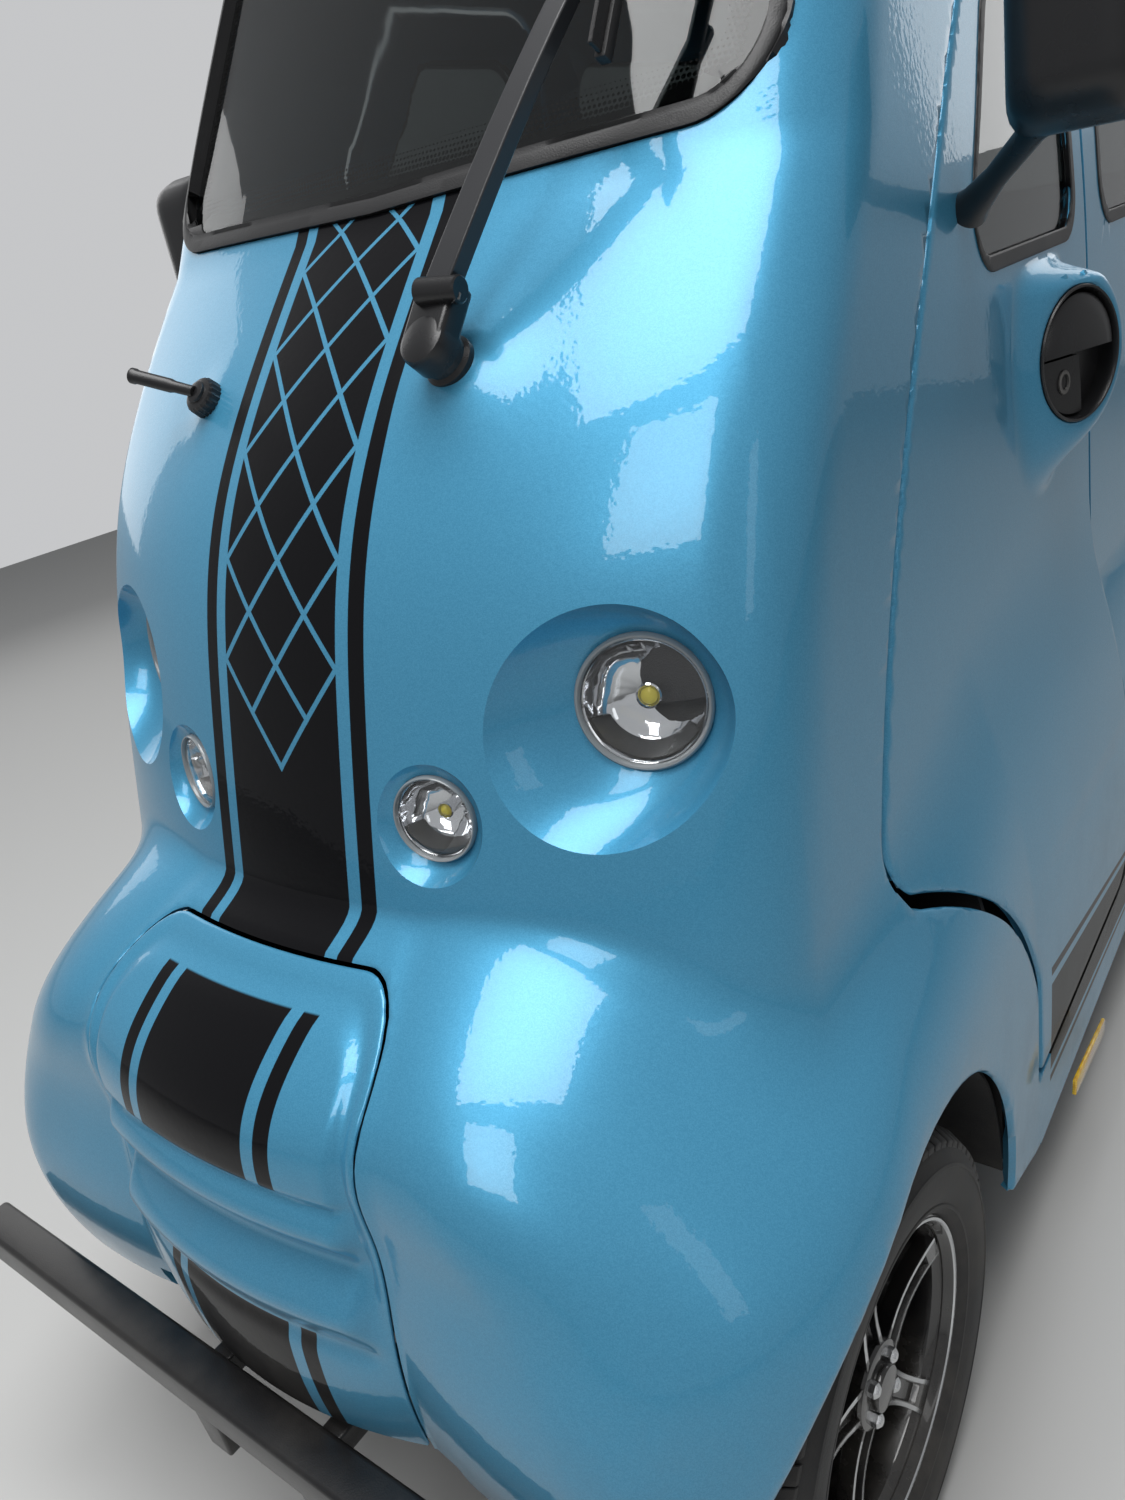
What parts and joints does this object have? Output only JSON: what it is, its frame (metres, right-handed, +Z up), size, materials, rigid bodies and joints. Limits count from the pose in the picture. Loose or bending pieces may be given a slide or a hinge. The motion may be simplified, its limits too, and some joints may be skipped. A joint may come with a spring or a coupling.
{
  "type": "three wheeled car",
  "caption": "Narrow electric three wheeled car with an enclosed cabin, two steered front wheels under bulging wings, one rear wheel and front hinged doors.",
  "frame": {"origin": "on the ground under the middle of the car's overall box", "axes": "+Z up, -Y forward, +X to the car's left"},
  "size_m": [1.12, 2.2989, 1.64],
  "materials": {
    "body_paint": "metallic light blue, clear coat",
    "glass": "dark tinted",
    "seal_rubber": "black rubber",
    "lamp_chrome": "chromed reflector under clear lens",
    "tail_lens": "red lens",
    "floor_black": "grained black",
    "dash_plastic": "satin black",
    "frame_black": "black powder coat",
    "seat_leather": "black leatherette",
    "trim_black": "semi-gloss black",
    "tyre": "black tread rubber",
    "rim_black": "gloss black alloy",
    "cast_steel": "bare cast"
  },
  "bodies": {
    "root": {"front_body": "body_paint", "rear_body": "body_paint", "roof_panel": "body_paint", "nose_panel": "body_paint", "windscreen": "glass", "rear_window": "glass", "quarter_windows": "glass", "windscreen_seal": "seal_rubber", "headlamps": "lamp_chrome", "fog_lamps": "lamp_chrome", "tail_lamps": "tail_lens", "floor_pan": "floor_black", "dashboard": "dash_plastic", "chassis_frame": "frame_black", "bumper_bar": "frame_black", "battery_box": "floor_black", "seat_base": "seat_leather", "seat_back": "seat_leather", "steering_column": "dash_plastic", "wheel_liners": "floor_black", "front_suspension": "frame_black", "swing_arm": "frame_black", "wiper": "trim_black", "washer_cap": "trim_black"},
    "door_left": {"door_left": "body_paint", "door_glass_left": "glass", "door_handle_left": "trim_black", "mirror_left": "trim_black"},
    "knuckle_left": {"knuckle_left": "cast_steel"},
    "door_right": {"door_right": "body_paint", "door_glass_right": "glass", "door_handle_right": "trim_black", "mirror_right": "trim_black"},
    "knuckle_right": {"knuckle_right": "cast_steel"},
    "wheel_front_left": {"tyre_front_left": "tyre", "rim_front_left": "rim_black"},
    "wheel_front_right": {"tyre_front_right": "tyre", "rim_front_right": "rim_black"},
    "wheel_rear": {"tyre_rear": "tyre", "rim_rear": "rim_black"},
    "steering_wheel": {"steering_wheel": "dash_plastic"}
  },
  "joints": [
    {"name": "steer_left", "type": "hinge", "parent": "root", "child": "knuckle_left", "pos_m": [0.315, -0.795, 0.2285], "axis": [0, 0, 1], "range_deg": [-30, 30]},
    {"name": "steer_right", "type": "hinge", "parent": "root", "child": "knuckle_right", "pos_m": [-0.315, -0.795, 0.2285], "axis": [0, 0, 1], "range_deg": [-30, 30]},
    {"name": "steering_wheel_turn", "type": "hinge", "parent": "root", "child": "steering_wheel", "pos_m": [0, -0.46, 0.96], "axis": [0, 0.8742, 0.4856], "range_deg": [-360, 360]},
    {"name": "spin_front_left", "type": "hinge", "parent": "knuckle_left", "child": "wheel_front_left", "pos_m": [0.38, -0.795, 0.2285], "axis": [1, 0, 0], "continuous": true},
    {"name": "spin_front_right", "type": "hinge", "parent": "knuckle_right", "child": "wheel_front_right", "pos_m": [-0.38, -0.795, 0.2285], "axis": [1, 0, 0], "continuous": true},
    {"name": "spin_rear", "type": "hinge", "parent": "root", "child": "wheel_rear", "pos_m": [0, 0.723, 0.2285], "axis": [1, 0, 0], "continuous": true},
    {"name": "door_left_hinge", "type": "hinge", "parent": "root", "child": "door_left", "pos_m": [0.405, -0.648, 0.8], "axis": [0, 0, -1], "range_deg": [0, 65]},
    {"name": "door_right_hinge", "type": "hinge", "parent": "root", "child": "door_right", "pos_m": [-0.405, -0.648, 0.8], "axis": [0, 0, 1], "range_deg": [0, 65]}
  ],
  "couplings": [
    {"joint": "steer_right", "follows": "steer_left", "ratio": 1},
    {"joint": "steering_wheel_turn", "follows": "steer_left", "ratio": 12}
  ]
}
